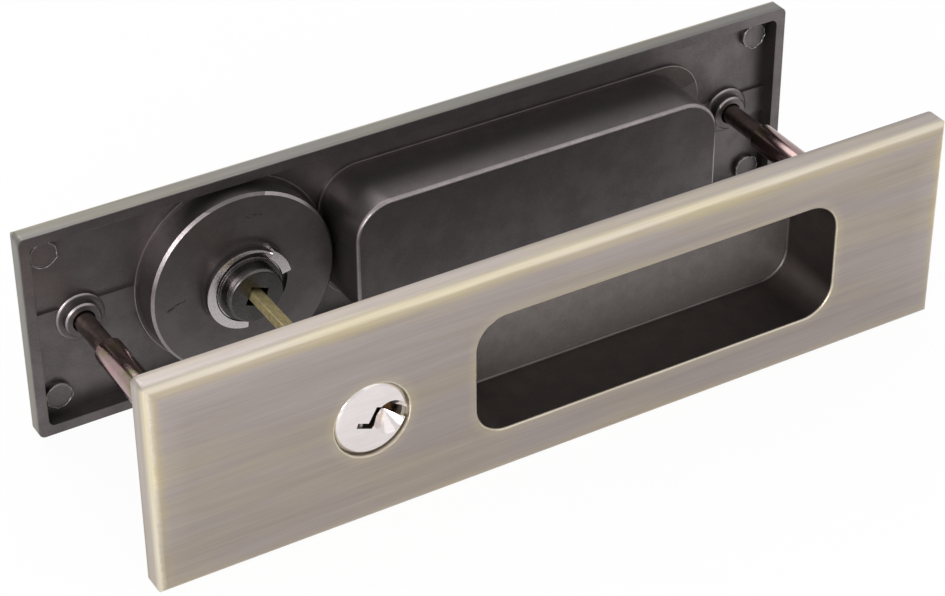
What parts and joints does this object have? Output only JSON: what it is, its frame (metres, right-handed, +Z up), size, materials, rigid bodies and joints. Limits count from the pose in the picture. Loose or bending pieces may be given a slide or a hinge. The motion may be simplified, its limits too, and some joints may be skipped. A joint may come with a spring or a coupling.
{
  "type": "pocket door lock",
  "caption": "Pocket door lock trim with a recessed finger pull on both faces, a key cylinder outside, a flush thumb turn inside and a tail bar between them.",
  "frame": {"origin": "middle of the two plates' lower long edges, halfway through the door", "axes": "+X along the plates from the key end to the pull end, +Y through the door from the keyed side to the thumb-turn side, +Z up"},
  "size_m": [0.16, 0.055, 0.042],
  "materials": {
    "aged_bronze": "brushed antique bronze plating on die-cast zinc, worn to pale brass at the edges",
    "nickel": "bright nickel plate",
    "zinc_cast": "plain die-cast zinc",
    "wafer_brass": "stamped brass",
    "spring_steel": "spring steel",
    "tail_brass": "drawn yellow brass",
    "black_hub": "black finish, satin",
    "yellow_zinc": "iridescent yellow passivated zinc plate on steel",
    "dark_bronze": "dark bronze plated steel"
  },
  "bodies": {
    "trim": {"outer_plate": "aged_bronze", "inner_plate": "aged_bronze", "cylinder_housing": "zinc_cast", "housing_circlip": "spring_steel", "sleeve_left": "yellow_zinc", "sleeve_right": "yellow_zinc", "bolt_left": "dark_bronze", "bolt_right": "dark_bronze"},
    "turn": {"thumb_turn": "aged_bronze", "turn_hub": "black_hub", "retaining_ring": "nickel"},
    "plug": {"key_plug": "nickel", "wafer_spring_1": "spring_steel", "wafer_spring_2": "spring_steel", "wafer_spring_3": "spring_steel", "wafer_spring_4": "spring_steel", "wafer_spring_5": "spring_steel", "stop_washer": "spring_steel", "plug_clip": "spring_steel", "tail_pin": "spring_steel", "tail_bar": "tail_brass"},
    "wafer_1": {"wafer_1": "wafer_brass"},
    "wafer_2": {"wafer_2": "wafer_brass"},
    "wafer_3": {"wafer_3": "wafer_brass"},
    "wafer_4": {"wafer_4": "wafer_brass"},
    "wafer_5": {"wafer_5": "wafer_brass"}
  },
  "joints": [
    {"name": "turn_spin", "type": "hinge", "parent": "trim", "child": "turn", "pos_m": [-0.0395, 0, 0.021], "axis": [0, 1, 0], "range_deg": [0, 90]},
    {"name": "plug_spin", "type": "hinge", "parent": "trim", "child": "plug", "pos_m": [-0.0395, 0, 0.021], "axis": [0, 1, 0], "range_deg": [0, 90]},
    {"name": "wafer_1_slide", "type": "slide", "parent": "plug", "child": "wafer_1", "axis": [0.9336, 0, -0.3584], "range_m": [-0.0007, 0.0007], "stiffness_N_per_m": 30, "springref_m": 0.0012, "deforming": ["wafer_spring_1"]},
    {"name": "wafer_2_slide", "type": "slide", "parent": "plug", "child": "wafer_2", "axis": [0.9336, 0, -0.3584], "range_m": [-0.0007, 0.0007], "stiffness_N_per_m": 30, "springref_m": 0.0012, "deforming": ["wafer_spring_2"]},
    {"name": "wafer_3_slide", "type": "slide", "parent": "plug", "child": "wafer_3", "axis": [0.9336, 0, -0.3584], "range_m": [-0.0007, 0.0007], "stiffness_N_per_m": 30, "springref_m": 0.0012, "deforming": ["wafer_spring_3"]},
    {"name": "wafer_4_slide", "type": "slide", "parent": "plug", "child": "wafer_4", "axis": [0.9336, 0, -0.3584], "range_m": [-0.0007, 0.0007], "stiffness_N_per_m": 30, "springref_m": 0.0012, "deforming": ["wafer_spring_4"]},
    {"name": "wafer_5_slide", "type": "slide", "parent": "plug", "child": "wafer_5", "axis": [0.9336, 0, -0.3584], "range_m": [-0.0007, 0.0007], "stiffness_N_per_m": 30, "springref_m": 0.0012, "deforming": ["wafer_spring_5"]}
  ],
  "couplings": [
    {"joint": "plug_spin", "follows": "turn_spin", "ratio": 1}
  ]
}
